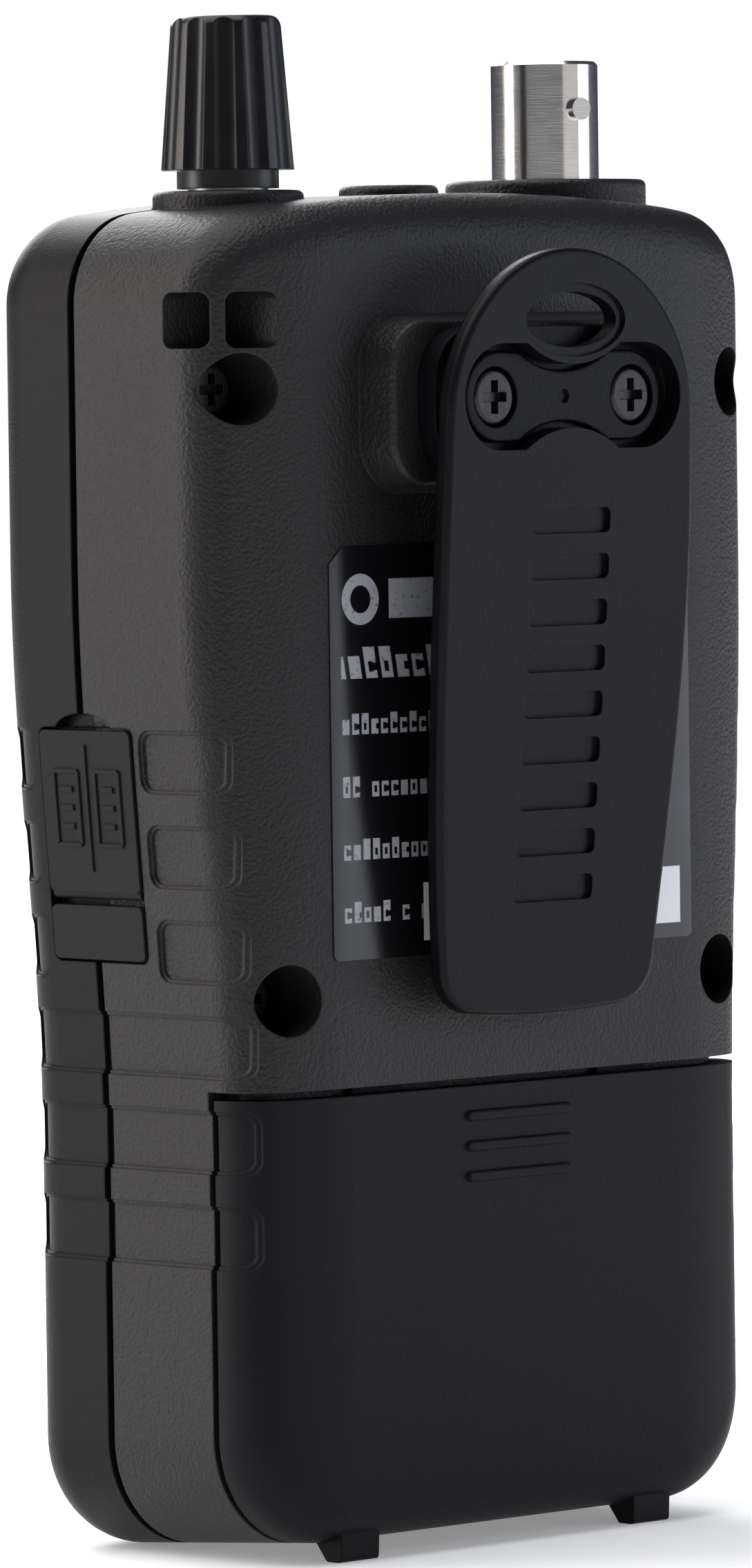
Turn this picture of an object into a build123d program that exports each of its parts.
from build123d import *
import os
from functools import cache
from math import cos, radians, sin

os.makedirs("parts", exist_ok=True)

# Handheld scanning receiver. +Z is up, the display and keys face -Y, and the
# belt clip is on the +Y side. Millimetres throughout.
# All shapes are drawn with Y = 0 halfway through the case; write_node() then
# moves them so that the origin lies under the middle of the whole object.
MID_Y = 3.65

# ---- case: outer form ----
HALF_WIDTH = 33.5          # upper body
HALF_WIDTH_LOW = 30.7      # grip, below the taper
DEPTH = 31.2
HALF_DEPTH = DEPTH / 2
TOP = 118.2
CROWN = 2.4                # how much the top falls from the middle to the sides
TAPER_TOP = 86.0
TAPER_LOW = 36.0
FRONT_LOW = -0.35          # bottom face slopes up from the front to the back
BACK_LOW = 2.0
TOP_CORNER = 8.0
LOW_CORNER = 10.0
FRONT_ROUND = 5.2
BACK_ROUND = 4.5
BACK_FLAT = 20.0           # half-width of the flat part of the back
BACK_BOW = 24.8            # radius of the bowed strips beside it
WALL = 2.0
SEAM = -4.1                # plane where the two shells meet
SEAM_GAP = 0.8
FAR = 60.0                 # reach of a cutting box that must pass everything

# ---- grip pockets ----
POCKETS = 6
POCKET_HEIGHT = 4.85
POCKET_PITCH = 8.17
POCKET_TOP_Z = 69.5        # centre of the highest pocket
POCKET_DEPTH = 0.45
POCKET_STEP = 0.3          # the shallow outer step that softens each edge
POCKET_BACK_END = 1.5      # how far short of the side each pocket ends on the back

# ---- top fittings ----
ROW_Y = -1.0               # knob, jack and aerial socket share this line
KNOB_X = 17.6
JACK_X = -1.85
AERIAL_X = -21.5
KNOB_COLLAR = (6.6, 118.6)     # radius, top
JACK_RING = (4.4, 119.1)
AERIAL_COLLAR = (9.0, 119.6)
KNOB_STEM_R = 4.45
KNOB_BASE_Z = 120.4
KNOB_TOP_Z = 133.8
KNOB_BASE_R = 5.85
KNOB_TOP_R = 4.8
KNOB_FLUTES = 12
SHAFT_R = 3.0
AERIAL_TOP_Z = 130.2
AERIAL_R = 4.8
LUG_Z = 125.9
LUG_R = 1.0
LUG_SPAN = 11.0
LUG_TURN = 8.0
PLUG_R = 1.8               # bore for a 3.5 mm plug
PLUG_DEPTH = 13.6

# ---- back ----
HOLE_R = 3.1
HOLE_FLOOR = 8.0
POST_R = 3.0               # posts of the front shell that take the case screws
UPPER_HOLES = (29.9, 101.4)
LOWER_HOLES = (26.4, 49.0)
LANYARD_Z = (104.9, 109.7)
LANYARD_SIDE_Y = (7.6, 12.1)
LANYARD_BACK_X = (26.7, 31.2)
BOSS = (36.6, 15.8)
BOSS_Z = 100.0
BOSS_FACE = 19.2
CLIP_SCREW_X = 8.35
CLIP_SCREW_Z = 100.4
LABEL = (44.0, 35.6)
LABEL_Z = 70.0

# ---- belt clip ----
CLIP_TOP_Z = 113.2
CLIP_LOW_Z = 46.7
CLIP_HALF = 14.9
CLIP_LOW_HALF = 12.6
CLIP_THICK = 1.8
OVAL_Z = 107.0
DISH_DEPTH = 0.35          # the shallow dish round the oval hole
GROOVES = 9
GROOVE_TOP_Z = 89.6
GROOVE_PITCH = 4.0
GROOVE_SIZE = (9.6, 2.2)
GROOVE_DEPTH = 0.5
CROSS_HALF = 0.42          # half the width of a screw's cross recess

# ---- battery door and bay ----
DOOR_TOP = 40.5
DOOR_EDGE = 9.6
DOOR_GAP = 0.7
DOOR_WALL = 1.8
CELL_R = 7.25
CELL_LENGTH = 50.5
CELL_Y = 5.5
CELL_ZS = (12.4, 28.6)
TONGUE_X = 15.0
FOOT_X = 18.0
FOOT_WIDTH = 4.5

# ---- port cover on the +X side ----
COVER_Y = (-9.4, 2.1)
COVER_Z = (52.2, 72.1)
ANCHOR_TOP = 56.9
FLAP_HINGE = (31.3, 58.05)     # X, Z of the line the flap bends about

# ---- front ----
KEY_COLUMNS = 4
KEY_ROWS = 5
KEY_PITCH = (11.2, 9.2)
KEY_SIZE = (8.8, 5.6)
KEY_TOP_Z = 50.0
KEY_PROUD = 0.9
KEY_CLEARANCE = 0.3
WINDOW = (44.0, 27.0)
WINDOW_Z = 73.0
SPEAKER_Z = 101.0
SPEAKER_R = 12.0

# ---- boards ----
KEY_BOARD_Y = (-11.3, -10.1)
MAIN_BOARD_Y = (-6.5, -5.3)


def block(xs, ys, zs):
    """A box between two values on each axis."""
    (x0, x1), (y0, y1), (z0, z1) = xs, ys, zs
    middle = Pos((x0 + x1) / 2, (y0 + y1) / 2, (z0 + z1) / 2)
    return middle * Box(x1 - x0, y1 - y0, z1 - z0)


def rod_x(y, z, radius, x0, x1):
    return Pos((x0 + x1) / 2, y, z) * Rot(0, 90, 0) * Cylinder(radius, x1 - x0)


def rod_y(x, z, radius, y0, y1):
    return Pos(x, (y0 + y1) / 2, z) * Rot(90, 0, 0) * Cylinder(radius, y1 - y0)


def rod_z(x, y, radius, z0, z1):
    return Pos(x, y, (z0 + z1) / 2) * Cylinder(radius, z1 - z0)


def from_behind(y):
    """A drawing plane at one depth: its x is X, its y is Z."""
    return Plane((0, y, 0), x_dir=(1, 0, 0), z_dir=(0, -1, 0))


def prism_y(sketch, y0, y1):
    """An XZ drawing carried from y0 to y1."""
    return extrude(from_behind(y0) * sketch, amount=y1 - y0, dir=(0, 1, 0))


def prism_x(sketch, x0, x1):
    """A YZ drawing carried from x0 to x1."""
    plane = Plane((x0, 0, 0), x_dir=(0, 1, 0), z_dir=(1, 0, 0))
    return extrude(plane * sketch, amount=x1 - x0, dir=(1, 0, 0))


# ---- the case's outer form ----

def case_outline(inset, bottom):
    """The case seen from the front, drawn in by inset all round."""
    wide = HALF_WIDTH - inset
    narrow = HALF_WIDTH_LOW - inset
    top = TOP - inset
    edge = top - CROWN
    low = bottom + inset
    right = [
        Line((wide, edge), (wide, TAPER_TOP)),
        Spline((wide, TAPER_TOP), (narrow, TAPER_LOW), tangents=[(0, -1), (0, -1)]),
        Line((narrow, TAPER_LOW), (narrow, low)),
    ]
    left = [
        Line((-narrow, low), (-narrow, TAPER_LOW)),
        Spline((-narrow, TAPER_LOW), (-wide, TAPER_TOP), tangents=[(0, 1), (0, 1)]),
        Line((-wide, TAPER_TOP), (-wide, edge)),
    ]
    crown = ThreePointArc((-wide, edge), (0, top), (wide, edge))
    base = Line((narrow, low), (-narrow, low))
    face = make_face(Wire([crown, *right, base, *left]))
    face = fillet([v for v in face.vertices() if v.Y > edge - 1], TOP_CORNER - inset)
    return fillet([v for v in face.vertices() if v.Y < low + 1], LOW_CORNER - inset)


def back_bow(half_depth):
    """Everything in front of the back face, which bows forward near the sides."""
    turn = radians(50)
    x_end = BACK_FLAT + BACK_BOW * sin(turn)
    y_end = half_depth - BACK_BOW * (1 - cos(turn))
    x_mid = BACK_FLAT + BACK_BOW * sin(turn / 2)
    y_mid = half_depth - BACK_BOW * (1 - cos(turn / 2))
    wire = Wire([
        Line((-BACK_FLAT, half_depth), (BACK_FLAT, half_depth)),
        ThreePointArc((BACK_FLAT, half_depth), (x_mid, y_mid), (x_end, y_end)),
        Line((x_end, y_end), (x_end, -FAR)),
        Line((x_end, -FAR), (-x_end, -FAR)),
        Line((-x_end, -FAR), (-x_end, y_end)),
        ThreePointArc((-x_end, y_end), (-x_mid, y_mid), (-BACK_FLAT, half_depth)),
    ])
    return Pos(0, 0, -10) * extrude(make_face(wire), TOP + 20)


def on_front_rim(edge, half_depth):
    return all(abs((edge @ t).Y + half_depth) < 0.001 for t in (0, 0.5, 1))


def on_back_rim(edge, half_depth):
    """Edges round the back face, without the two lines where its bow starts."""
    ends = (edge @ 0, edge @ 1)
    if any((edge @ t).Y < half_depth - 5.5 for t in (0, 0.5, 1)):
        return False
    return not all(abs(abs(end.X) - BACK_FLAT) < 0.001 for end in ends)


@cache
def case_form(inset):
    """The whole case as a solid, its surface drawn in by inset (or out, if negative)."""
    half_depth = HALF_DEPTH - inset
    front = from_behind(-half_depth) * case_outline(inset, FRONT_LOW)
    back = from_behind(half_depth) * case_outline(inset, BACK_LOW)
    form = loft([front, back], ruled=True) & back_bow(half_depth)
    form = fillet([e for e in form.edges() if on_front_rim(e, half_depth)], FRONT_ROUND - inset)
    return fillet([e for e in form.edges() if on_back_rim(e, half_depth)], BACK_ROUND - inset)


def side_at(z):
    """Half-width of the case at height z."""
    if z >= TAPER_TOP:
        return HALF_WIDTH
    if z <= TAPER_LOW:
        return HALF_WIDTH_LOW
    t = (z - TAPER_LOW) / (TAPER_TOP - TAPER_LOW)
    return HALF_WIDTH_LOW + (HALF_WIDTH - HALF_WIDTH_LOW) * t * t * (3 - 2 * t)


# ---- grip pockets ----

def pocket_zone(z, y_front, y_back, grow):
    """Where one pocket cuts the +X side; one that reaches the back is ended there."""
    height = POCKET_HEIGHT + 2 * grow
    length = y_back - y_front + 2 * grow
    side = Pos((y_front + y_back) / 2, z) * RectangleRounded(length, height, 1.0 + grow)
    zone = prism_x(side, 20, FAR)
    if y_back < HALF_DEPTH:
        return zone
    inner = side_at(z) - POCKET_BACK_END - grow
    across = HALF_WIDTH + 10 - inner
    back = Pos(inner + across / 2, z) * RectangleRounded(across, height + 0.02, 1.0 + grow)
    return zone & prism_y(back, -FAR, FAR)


def cut_pockets(shell, spans, side):
    """Sinks the pockets, one (y_front, y_back) span each, into one side of a shell."""
    for index, (y_front, y_back) in enumerate(spans):
        z = POCKET_TOP_Z - index * POCKET_PITCH
        for depth, grow in ((POCKET_DEPTH / 2, POCKET_STEP), (POCKET_DEPTH, 0)):
            zone = pocket_zone(z, y_front, y_back, grow)
            if side < 0:
                zone = mirror(zone, about=Plane.YZ)
            shell -= zone - case_form(depth)
    return shell


def rear_spans(side):
    """The three highest pockets on the +X side start behind the port cover."""
    open_to_seam = (SEAM - 5, HALF_DEPTH + 10)
    if side < 0:
        return [open_to_seam] * POCKETS
    return [(3.3 + 0.3 * k, HALF_DEPTH + 10) for k in range(3)] + [open_to_seam] * 3


def front_spans(side):
    past_seam = SEAM + 6
    if side < 0:
        return [(-14.4, past_seam)] * POCKETS
    return [(-14.4, COVER_Y[0] - 1.4)] * 3 + [(-14.4, past_seam)] * 3


# ---- openings shared by the two shells ----

def port_recess():
    """The sunk bed of the port cover, its finger notch and the hole to the socket."""
    y0, y1 = COVER_Y
    z0, z1 = COVER_Z
    bed = Pos((y0 + y1) / 2, (z0 + z1) / 2) * RectangleRounded(y1 - y0 + 0.5, z1 - z0 + 0.5, 0.8)
    recess = prism_x(bed, 20, FAR) - case_form(1.35)
    notch = Pos(-3.9, z1) * Ellipse(3.6, 1.5)
    recess += prism_x(notch, 20, FAR) - case_form(1.1)
    return recess + block((20, FAR), (-6.4, -0.4), (60.9, 70.9))


def screw_columns(x, z):
    """Both screw places at +x and -x, as a function of radius and depth."""
    def columns(radius, y0, y1):
        return [rod_y(side * x, z, radius, y0, y1) for side in (1, -1)]
    return columns


# ---- rear shell ----

def lanyard_passage():
    z0, z1 = LANYARD_Z
    height = z1 - z0
    y0, y1 = LANYARD_SIDE_Y
    x0, x1 = LANYARD_BACK_X
    side = Pos((y0 + y1) / 2, (z0 + z1) / 2) * RectangleRounded(y1 - y0, height, 0.9)
    back = Pos((x0 + x1) / 2, (z0 + z1) / 2) * RectangleRounded(x1 - x0, height, 0.9)
    return prism_x(side, x0, FAR) + prism_y(back, y0, FAR)


def clip_boss():
    """The drafted, rounded pad on the back that the clip is screwed to."""
    pad = from_behind(HALF_DEPTH - 1.2) * Pos(0, BOSS_Z) * RectangleRounded(*BOSS, 4.8)
    boss = extrude(pad, amount=-(BOSS_FACE - HALF_DEPTH + 1.2), taper=10)
    rim = [e for e in boss.edges() if all(abs((e @ t).Y - BOSS_FACE) < 0.01 for t in (0, 0.5, 1))]
    return fillet(rim, 0.5)


def collar(x, size, floor):
    """A round-topped ring that stands out of the top."""
    radius, top = size
    ring = rod_z(x, ROW_Y, radius, floor, top)
    return fillet(ring.edges().filter_by(GeomType.CIRCLE).group_by(Axis.Z)[-1], 0.6)


def top_collars():
    return [
        collar(KNOB_X, KNOB_COLLAR, 112.8),
        collar(JACK_X, JACK_RING, 114.5),
        collar(AERIAL_X, AERIAL_COLLAR, 112.2),
    ]


def battery_bay():
    """The five-sided box behind the door, open towards +Y."""
    edge = DOOR_EDGE - DOOR_GAP
    deep = block((-29.2, 29.2), (-2.6, edge), (2.6, 40.4)) & case_form(0.5)
    # the lip runs on past the door's top edge, so the gap there has a floor
    lip = block((-28.5, 28.5), (edge - 0.5, 12.8), (3.6, 42.4)) & case_form(DOOR_WALL + 0.35)
    return deep + lip - block((-27.2, 27.2), (-1.9, 20), (4.7, 38.0))


def door_space():
    """What the door and its gap take out of the rear shell."""
    return block((-FAR, FAR), (DOOR_EDGE - DOOR_GAP, FAR), (-FAR, DOOR_TOP + DOOR_GAP))


def rear_shell():
    shell = case_form(0) - case_form(WALL)
    shell -= block((-FAR, FAR), (-FAR, SEAM + SEAM_GAP / 2), (-FAR, 200))
    shell = shell.fuse(*top_collars())
    shell += clip_boss()
    inside = case_form(0)
    # walls round the lanyard passage and the screw wells
    shell += block((25.4, FAR), (6.2, FAR), (103.4, 111.1)) & inside
    for x, z in (UPPER_HOLES, LOWER_HOLES):
        for well in screw_columns(x, z)(HOLE_R + 1.1, HOLE_FLOOR - 2.5, FAR):
            shell += well & inside
    for side in (1, -1):
        shell += rod_y(side * CLIP_SCREW_X, CLIP_SCREW_Z, 3.0, 11.0, HALF_DEPTH - 1)
    shell -= door_space()
    shell += battery_bay()
    shell -= lanyard_passage()
    for x, z in (UPPER_HOLES, LOWER_HOLES):
        for well in screw_columns(x, z)(HOLE_R, HOLE_FLOOR, FAR):
            shell -= well
        for hole in screw_columns(x, z)(1.45, 0, FAR):
            shell -= hole
    for side in (1, -1):
        shell -= rod_y(side * CLIP_SCREW_X, CLIP_SCREW_Z, 1.2, 10, FAR)
    shell -= rod_z(KNOB_X, ROW_Y, 3.6, 100, 130)
    shell -= rod_z(JACK_X, ROW_Y, 3.1, 100, 130)
    shell -= rod_z(AERIAL_X, ROW_Y, 5.0, 100, 130)
    shell -= port_recess()
    shell -= rod_x(0.6, 54.6, 1.2, 20, 40)
    for side in (1, -1):
        shell = cut_pockets(shell, rear_spans(side), side)
    return shell


# ---- front shell ----

def key_places():
    """Name, X and Z of each key, counted from the top left as the user sees them."""
    places = []
    for row in range(KEY_ROWS):
        for column in range(KEY_COLUMNS):
            x = (column - (KEY_COLUMNS - 1) / 2) * KEY_PITCH[0]
            z = KEY_TOP_Z - row * KEY_PITCH[1]
            places.append((f"key_{row + 1}_{column + 1}", x, z))
    return places


def key_hole(x, z, grow, y0, y1):
    width, height = KEY_SIZE
    drawing = Pos(x, z) * RectangleRounded(width + 2 * grow, height + 2 * grow, 2.2 + grow)
    return prism_y(drawing, y0, y1)


def seam_lip():
    """The thin inner lip that closes the groove between the shells."""
    ring = case_form(1.05) - case_form(WALL)
    return ring & block((-FAR, FAR), (SEAM - 1.5, SEAM + SEAM_GAP / 2), (-FAR, 200))


def front_shell():
    shell = case_form(0) - case_form(WALL)
    shell -= block((-FAR, FAR), (SEAM - SEAM_GAP / 2, FAR), (-FAR, 200))
    shell += seam_lip()
    # past the seam the screw posts stay clear of the rear shell's wall
    spans = ((-HALF_DEPTH + 1, SEAM - SEAM_GAP / 2, 0.5), (SEAM - 1, HOLE_FLOOR - 2.5, WALL + 0.1))
    for x, z in (UPPER_HOLES, LOWER_HOLES):
        for y0, y1, inset in spans:
            for post in screw_columns(x, z)(POST_R, y0, y1):
                shell += post & case_form(inset)
        for hole in screw_columns(x, z)(1.2, -9, FAR):
            shell -= hole
    # display window: a shallow bed and the opening behind it
    face = -HALF_DEPTH
    bed = Pos(0, WINDOW_Z) * RectangleRounded(WINDOW[0] + 0.2, WINDOW[1] + 0.2, 3)
    view = Pos(0, WINDOW_Z) * RectangleRounded(WINDOW[0] - 4, WINDOW[1] - 4, 2)
    shell -= prism_y(bed, face - 1, face + 1.0)
    shell -= prism_y(view, face - 1, face + 3)
    for _, x, z in key_places():
        shell -= key_hole(x, z, KEY_CLEARANCE, face - 1, face + 3)
    for row in range(6):
        slot = Pos(0, SPEAKER_Z + (row - 2.5) * 3.0) * SlotOverall(20, 1.3)
        shell -= prism_y(slot, face - 1, face + 3)
    # the collars belong to the rear shell, so the front shell makes room for them
    for x, (radius, _) in ((KNOB_X, KNOB_COLLAR), (JACK_X, JACK_RING), (AERIAL_X, AERIAL_COLLAR)):
        shell -= rod_z(x, ROW_Y, radius + 0.1, 105, 125)
    shell -= port_recess()
    for side in (1, -1):
        shell = cut_pockets(shell, front_spans(side), side)
    return shell


# ---- battery door ----

def finger_ribs():
    ribs = []
    for z in (37.9, 35.25, 32.6):
        bar = prism_y(Pos(0, z) * SlotOverall(12.8, 0.9), HALF_DEPTH - 0.5, HALF_DEPTH + 0.4)
        rim = bar.faces().sort_by(Axis.Y)[-1].edges()
        ribs.append(fillet(rim, 0.25))
    return ribs


def foot(x):
    """A short wedge-shaped foot under the back edge."""
    half = FOOT_WIDTH / 2
    profile = Polygon((13.9, 6.0), (13.6, 0), (11.8, 0), (9.8, 2.4), (9.8, 6.0), align=None)
    wedge = prism_x(profile, x - half, x + half)
    return fillet(wedge.edges().filter_by(Axis.X).group_by(Axis.Z)[0], 0.4)


def battery_door():
    zone = block((-FAR, FAR), (DOOR_EDGE, FAR), (-FAR, DOOR_TOP))
    door = (case_form(0) - case_form(DOOR_WALL)) & zone
    for side in (1, -1):
        door += foot(side * FOOT_X) - case_form(DOOR_WALL)
        # a tongue that hooks behind the back wall, and the web that carries it
        across = (side * TONGUE_X - 3, side * TONGUE_X + 3)
        door += block(across, (12.95, 13.4), (39.0, 43.2))
        door += block(across, (13.0, HALF_DEPTH - 1), (39.0, 40.4))
    for rib in finger_ribs():
        door += rib
    for side in (1, -1):
        door = cut_pockets(door, rear_spans(side), side)
    return door


# ---- port cover ----

def cover_plate(z0, z1):
    y0, y1 = COVER_Y
    drawing = Pos((y0 + y1) / 2, (z0 + z1) / 2) * RectangleRounded(y1 - y0, z1 - z0, 0.6)
    return (case_form(-0.2) - case_form(1.0)) & prism_x(drawing, 20, FAR)


def port_flap():
    """The hinged upper part: plate, bead along its bend line and the plug behind it."""
    x, z = FLAP_HINGE
    flap = cover_plate(z, COVER_Z[1])
    flap += rod_y(x, z, 0.6, COVER_Y[0] + 0.2, COVER_Y[1] - 0.2)
    plug = block((30.6, 31.9), (-5.5, -1.2), (61.9, 69.8))
    return flap + plug


def port_anchor():
    anchor = cover_plate(COVER_Z[0], ANCHOR_TOP)
    return anchor + rod_x(0.6, 54.6, 1.2, 28.6, 31.2)


# ---- belt clip ----

def dog_bone(lobe_r, waist, reach):
    """Two round lobes joined by a waist, centred on the clip's screws."""
    centre = reach - lobe_r
    lobes = [Pos(side * centre, CLIP_SCREW_Z) * Circle(lobe_r) for side in (1, -1)]
    bridge = Pos(0, CLIP_SCREW_Z) * Rectangle(2 * centre, 2 * lobe_r)
    scoop_r = 9.5
    for side in (1, -1):
        bridge -= Pos(0, CLIP_SCREW_Z + side * (waist + scoop_r)) * Circle(scoop_r)
    return lobes[0] + bridge + lobes[1]


def clip_outline():
    shoulder = CLIP_TOP_Z - CLIP_HALF
    low = CLIP_LOW_Z
    mid_half = (CLIP_HALF + CLIP_LOW_HALF) / 2 + 1.05
    mid_z = (shoulder + low) / 2
    crown = ThreePointArc((-CLIP_HALF, shoulder), (0, CLIP_TOP_Z), (CLIP_HALF, shoulder))
    right = ThreePointArc((CLIP_HALF, shoulder), (mid_half, mid_z), (CLIP_LOW_HALF, low + 0.8))
    foot_arc = ThreePointArc((CLIP_LOW_HALF, low + 0.8), (0, low), (-CLIP_LOW_HALF, low + 0.8))
    left = ThreePointArc((-CLIP_LOW_HALF, low + 0.8), (-mid_half, mid_z), (-CLIP_HALF, shoulder))
    face = make_face(Wire([crown, right, foot_arc, left]))
    return fillet([v for v in face.vertices() if v.Y < low + 2], 4.2)


def clip_strip():
    """Side view of the clip: it leans in towards the case as it goes down."""
    outer = [(23.7, 120), (23.7, 103), (23.0, 87.5), (22.0, 75), (20.8, 62.8), (19.5, 44)]
    inner = [(y - CLIP_THICK, z) for y, z in outer]
    outline = Wire([
        Spline(*outer),
        Line(outer[-1], inner[-1]),
        Spline(*reversed(inner)),
        Line(inner[0], outer[0]),
    ])
    return prism_x(make_face(outline), -FAR, FAR)


def grip_grooves():
    """What a column of shallow finger grooves takes out of the clip's outer face."""
    grooves = []
    for index in range(GROOVES):
        z = GROOVE_TOP_Z - index * GROOVE_PITCH
        drawing = Pos(0, z) * RectangleRounded(*GROOVE_SIZE, 0.6)
        grooves.append(prism_y(drawing, 10, 30))
    floor = Pos(0, -GROOVE_DEPTH, 0) * clip_strip()
    return [groove - floor for groove in grooves]


def belt_clip():
    clip = prism_y(clip_outline(), 10, 30) & clip_strip()
    rims = [e for e in clip.edges() if (e @ 0.5).Y > 10 and e.length > 2]
    clip = fillet(rims, 0.55)
    clip -= prism_y(dog_bone(4.6, 2.75, 13.2), 10, 30)
    clip -= prism_y(Pos(0, OVAL_Z) * Ellipse(5.5, 2.4), 10, 30)
    dish = prism_y(Pos(0, OVAL_Z) * Ellipse(6.3, 3.2), 10, 30)
    clip -= dish - Pos(0, -DISH_DEPTH, 0) * clip_strip()
    for groove in grip_grooves():
        clip -= groove
    return clip


def clip_base():
    """The spacer under the clip, with the raised dog-bone that takes the screws."""
    pad = Pos(0, 100.1) * RectangleRounded(29.2, 12.8, 4.8)
    base = prism_y(pad, BOSS_FACE, 21.4)
    block_top = prism_y(dog_bone(3.9, 2.2, 11.9), 21.0, 22.4)
    base += fillet(block_top.faces().sort_by(Axis.Y)[-1].edges(), 0.25)
    for side in (1, -1):
        base -= rod_y(side * CLIP_SCREW_X, CLIP_SCREW_Z, 2.65, 20.9, 30)
        base -= rod_y(side * CLIP_SCREW_X, CLIP_SCREW_Z, 1.35, 15, 30)
    return base - rod_y(0, CLIP_SCREW_Z, 0.6, 22.1, 23)


# ---- fasteners ----

def cross_screw(x, z, seat, head, shank_r, tip):
    """A cross-recess screw driven along -Y: its head's underside sits at y = seat."""
    radius, height = head
    cap = rod_y(x, z, radius, seat, seat + height)
    cap = fillet(cap.edges().filter_by(GeomType.CIRCLE).group_by(Axis.Y)[-1], height * 0.3)
    screw = cap + rod_y(x, z, shank_r, tip, seat)
    depths = (seat + height * 0.4, seat + height + 1)
    wing = radius * 0.6
    for wide, tall in ((wing, CROSS_HALF), (CROSS_HALF, wing)):
        screw -= block((x - wide, x + wide), depths, (z - tall, z + tall))
    return screw


def case_screws():
    return [
        cross_screw(side * x, z, HOLE_FLOOR, (2.3, 1.7), 1.2, -8.0)
        for x, z in (UPPER_HOLES, LOWER_HOLES)
        for side in (1, -1)
    ]


def clip_screws():
    return [
        cross_screw(side * CLIP_SCREW_X, CLIP_SCREW_Z, 20.9, (2.4, 1.4), 1.2, 11.5)
        for side in (1, -1)
    ]


# ---- knob and aerial socket ----

def volume_knob():
    """Tapered knob with shallow scallops between its ribs, a stem and a shaft bore."""
    height = KNOB_TOP_Z - KNOB_BASE_Z
    body = Pos(KNOB_X, ROW_Y, KNOB_BASE_Z + height / 2) * Cone(KNOB_BASE_R, KNOB_TOP_R, height)
    body = fillet(body.edges().filter_by(GeomType.CIRCLE).group_by(Axis.Z)[-1], 1.1)
    scallop_r = 1.5
    for index in range(KNOB_FLUTES):
        turn = radians(360 / KNOB_FLUTES * (index + 0.5))
        foot_r = KNOB_BASE_R + scallop_r - 0.42
        head_r = KNOB_TOP_R + scallop_r - 0.42
        foot_point = (KNOB_X + foot_r * cos(turn), ROW_Y + foot_r * sin(turn), KNOB_BASE_Z - 0.5)
        head_point = (KNOB_X + head_r * cos(turn), ROW_Y + head_r * sin(turn), KNOB_TOP_Z + 0.5)
        path = Vector(*head_point) - Vector(*foot_point)
        plane = Plane(foot_point, z_dir=path)
        body -= extrude(plane * Circle(scallop_r), amount=path.length)
    stem = rod_z(KNOB_X, ROW_Y, KNOB_STEM_R, KNOB_COLLAR[1] + 0.2, KNOB_BASE_Z + 1)
    knob = body + stem
    knob -= rod_z(KNOB_X, ROW_Y, 3.75, 110, KNOB_BASE_Z)
    return knob - rod_z(KNOB_X, ROW_Y, SHAFT_R + 0.05, 110, 131.0)


def volume_control():
    """Rotary control on the main board: housing, bushing and shaft."""
    control = block((KNOB_X - 5.5, KNOB_X + 5.5), (MAIN_BOARD_Y[1], 3.3), (104, 112.5))
    control += rod_z(KNOB_X, ROW_Y, 3.5, 112.5, 119.6)
    return control + rod_z(KNOB_X, ROW_Y, SHAFT_R, 119.6, 130.6)


def aerial_socket():
    """Bayonet aerial socket: barrel with its two lugs, flange and threaded tail."""
    floor = AERIAL_COLLAR[1]
    barrel = rod_z(AERIAL_X, ROW_Y, AERIAL_R, 113, AERIAL_TOP_Z)
    barrel = chamfer(barrel.edges().filter_by(GeomType.CIRCLE).group_by(Axis.Z)[-1], 0.3)
    lug = Rot(90, 0, 0) * Cylinder(LUG_R, LUG_SPAN)
    barrel += Pos(AERIAL_X, ROW_Y, LUG_Z) * Rot(0, 0, -LUG_TURN) * lug
    barrel += rod_z(AERIAL_X, ROW_Y, 6.2, 110.4, 112.2)
    barrel += rod_z(AERIAL_X, ROW_Y, 4.2, 108, 113)
    barrel -= rod_z(AERIAL_X, ROW_Y, 4.1, floor + 1.4, 140)
    return barrel - rod_z(AERIAL_X, ROW_Y, 2.4, 100, 140)


def aerial_insulator():
    sleeve = rod_z(AERIAL_X, ROW_Y, 2.4, 106, AERIAL_TOP_Z - 0.8)
    return sleeve - rod_z(AERIAL_X, ROW_Y, 1.05, 100, 140)


def aerial_contact():
    pin = rod_z(AERIAL_X, ROW_Y, 1.05, 103, AERIAL_TOP_Z - 1.6)
    return pin - rod_z(AERIAL_X, ROW_Y, 0.69, 122, 140)


def aerial_bracket():
    """Grounding bracket that ties the socket's tail to the main board."""
    plate = block((AERIAL_X - 5, AERIAL_X + 5), (MAIN_BOARD_Y[1], 4.6), (107.2, 108))
    plate += block((AERIAL_X - 5, AERIAL_X + 5), (MAIN_BOARD_Y[1], -4.7), (98, 108))
    return plate - rod_z(AERIAL_X, ROW_Y, 2.4, 100, 140)


def headphone_jack():
    jack = block((JACK_X - 3.2, JACK_X + 3.2), (MAIN_BOARD_Y[1], 2.6), (103.6, 114.4))
    jack += rod_z(JACK_X, ROW_Y, 3.0, 114.4, JACK_RING[1] - 0.4)
    top = JACK_RING[1] - 0.4
    return jack - rod_z(JACK_X, ROW_Y, PLUG_R, top - PLUG_DEPTH, 140)


# ---- boards and what they carry ----

def main_board():
    board = block((-26, 26), MAIN_BOARD_Y, (8, 110))
    for column in screw_columns(*LOWER_HOLES)(3.8, -20, 20):
        board -= column
    return board


def key_board():
    return block((-22.8, 22.8), KEY_BOARD_Y, (7, 87.5))


def key_domes():
    """Snap domes under the keys, on one carrier sheet."""
    sheet = block((-21.5, 21.5), (-11.45, KEY_BOARD_Y[0]), (9.4, 54))
    for _, x, z in key_places():
        sheet += rod_y(x, z, 2.0, -11.6, -11.4)
    return sheet


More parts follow.
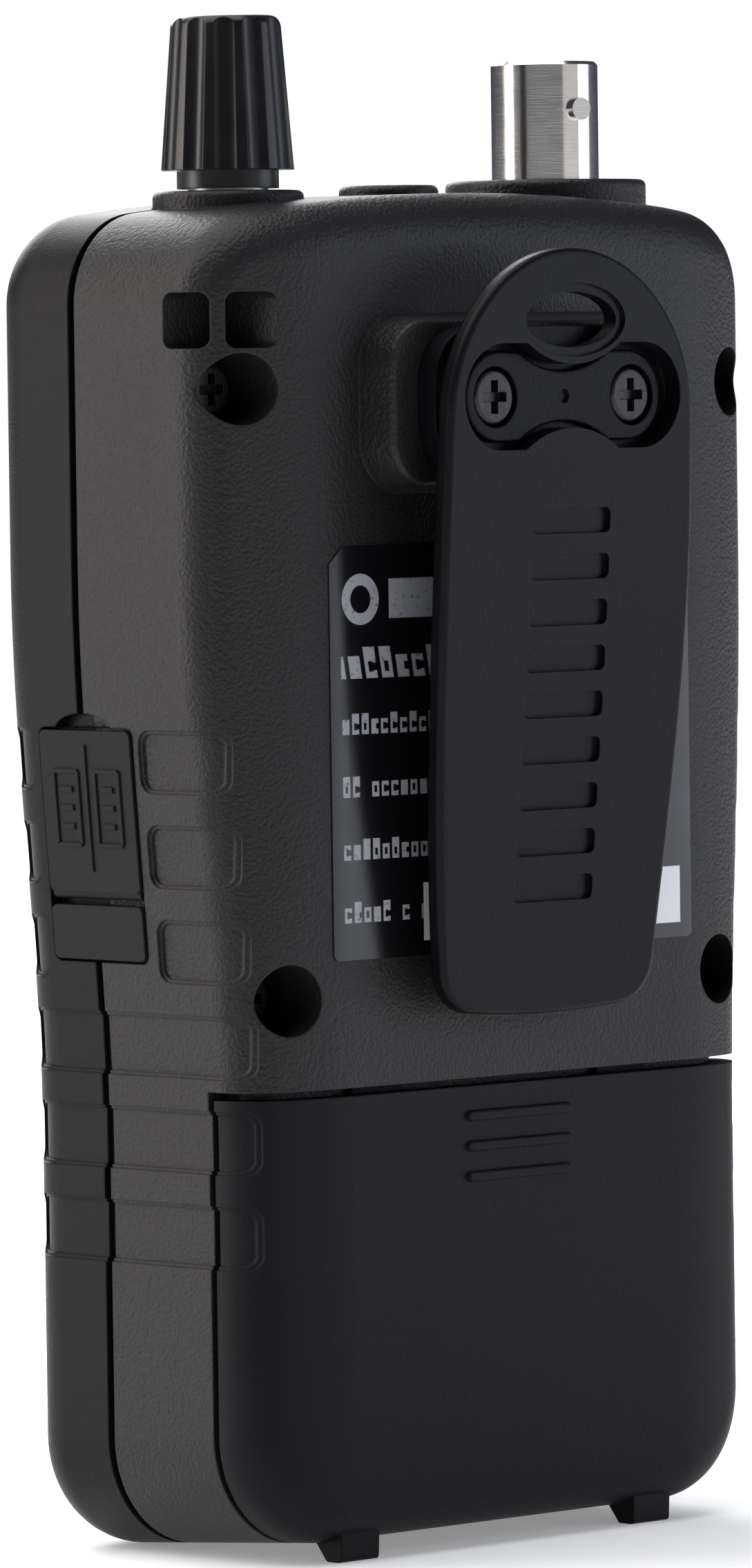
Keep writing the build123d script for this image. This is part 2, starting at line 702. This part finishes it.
def rf_shields():
    return [
        block((-22, -3), (MAIN_BOARD_Y[1], -2.9), (56, 80)),
        block((1, 17), (MAIN_BOARD_Y[1], -2.9), (58, 80)),
    ]


def board_chips():
    """The processor and the memory, on the side that faces the keys."""
    return [
        block((-8, 6), (-7.9, MAIN_BOARD_Y[0]), (40, 54)),
        block((-7, 4), (-7.6, MAIN_BOARD_Y[0]), (24, 32)),
    ]


def capacitors():
    return [rod_y(x, 91, 2.6, MAIN_BOARD_Y[1], 3.0) for x in (-6, 1, 8)]


def board_link():
    return block((-9, 9), (KEY_BOARD_Y[1], MAIN_BOARD_Y[0]), (78, 81.5))


def usb_socket():
    shell = block((23.5, 30.2), (MAIN_BOARD_Y[1], -1.4), (62.0, 69.8))
    return shell - block((25, 40), (-4.8, -1.9), (62.5, 69.3))


def speaker():
    """Small loudspeaker: basket in front, magnet behind."""
    cone = rod_y(0, SPEAKER_Z, SPEAKER_R, -13.2, -11.4)
    magnet = rod_y(0, SPEAKER_Z, 6.5, -11.4, -8.6)
    return cone + magnet


def speaker_cloth():
    return rod_y(0, SPEAKER_Z, SPEAKER_R - 0.5, -13.55, -13.25)


def display_window():
    face = -HALF_DEPTH
    pane = Pos(0, WINDOW_Z) * RectangleRounded(WINDOW[0], WINDOW[1], 2.9)
    return prism_y(pane, face + 0.1, face + 1.0)


def display_module():
    width, height = WINDOW
    across = (-width / 2 + 1, width / 2 - 1)
    tall = (WINDOW_Z - height / 2 + 1, WINDOW_Z + height / 2 - 0.2)
    return block(across, (-13.4, KEY_BOARD_Y[0]), tall)


def key(x, z):
    """One key cap, its retaining flange and the post that presses its dome."""
    face = -HALF_DEPTH
    cap = key_hole(x, z, 0, face - KEY_PROUD, face + WALL + 0.2)
    cap = fillet(cap.faces().sort_by(Axis.Y)[0].edges(), 0.5)
    half_w = KEY_SIZE[0] / 2 + 0.8
    half_h = KEY_SIZE[1] / 2 + 0.8
    flange = block((x - half_w, x + half_w), (-13.5, -12.9), (z - half_h, z + half_h))
    return cap + flange + rod_y(x, z, 1.2, -13.0, -12.4)


# ---- power ----

def battery_cells():
    """Two AA cells, lying across the bay the opposite way round."""
    cells = []
    half = CELL_LENGTH / 2
    for side, z in zip((1, -1), CELL_ZS):
        ends = sorted((-side * half, side * (half - 1.2)))
        body = rod_x(CELL_Y, z, CELL_R, *ends)
        body = fillet(body.edges().filter_by(GeomType.CIRCLE), 0.6)
        tip = sorted((side * (half - 1.5), side * half))
        cells.append(body + rod_x(CELL_Y, z, 2.6, *tip))
    return cells


def battery_contacts():
    """Four contact plates, one at each end of each cell."""
    plates = []
    for side in (1, -1):
        inner, outer = sorted((side * 26.7, side * 27.2))
        for z in CELL_ZS:
            plate = block((inner, outer), (CELL_Y - 4, CELL_Y + 4), (z - 4, z + 4))
            spring = sorted((side * (CELL_LENGTH / 2 + 0.1), side * 26.7))
            plates.append(plate + rod_x(CELL_Y, z, 2.2, *spring))
    return plates


# ---- label ----

def rating_label():
    """A thin film that follows the back; one corner is cut off."""
    width, height = LABEL
    half_w, half_h = width / 2, height / 2
    sketch = Pos(0, LABEL_Z) * RectangleRounded(width, height, 0.6)
    sketch -= Pos(half_w, LABEL_Z + half_h) * Rot(0, 0, 45) * Rectangle(2.2, 2.2)
    film = prism_y(sketch, 5, 20)
    return (case_form(-0.12) - case_form(0)) & film & block((-FAR, FAR), (10, FAR), (0, 100))


def solids_of(shape):
    """Every separate solid in a shape, or in a list of shapes."""
    if isinstance(shape, list):
        return [solid for item in shape for solid in item.solids()]
    return list(shape.solids())


def write_node(name, shape):
    solids = [Pos(0, -MID_Y, 0) * solid for solid in solids_of(shape)]
    whole = solids[0] if len(solids) == 1 else Compound(solids)
    export_step(whole, f"parts/{name}.step")
    return whole.bounding_box()


NODES = {
    "front_shell": front_shell,
    "rear_shell": rear_shell,
    "battery_door": battery_door,
    "port_flap": port_flap,
    "port_cover_anchor": port_anchor,
    "clip_base": clip_base,
    "belt_clip": belt_clip,
    "clip_screws": clip_screws,
    "case_screws": case_screws,
    "volume_knob": volume_knob,
    "volume_control": volume_control,
    "aerial_socket": aerial_socket,
    "aerial_insulator": aerial_insulator,
    "aerial_contact": aerial_contact,
    "aerial_bracket": aerial_bracket,
    "headphone_jack": headphone_jack,
    "usb_socket": usb_socket,
    "main_board": main_board,
    "board_chips": board_chips,
    "capacitors": capacitors,
    "rf_shields": rf_shields,
    "board_link": board_link,
    "key_board": key_board,
    "key_domes": key_domes,
    "display_window": display_window,
    "display_module": display_module,
    "speaker": speaker,
    "speaker_cloth": speaker_cloth,
    "battery_cells": battery_cells,
    "battery_contacts": battery_contacts,
    "rating_label": rating_label,
}

boxes = [write_node(name, make()) for name, make in NODES.items()]
boxes += [write_node(name, key(x, z)) for name, x, z in key_places()]
front = min(box.min.Y for box in boxes)
rear = max(box.max.Y for box in boxes)
print(f"depth {rear - front:.2f} mm, middle off by {(rear + front) / 2:.3f} mm")
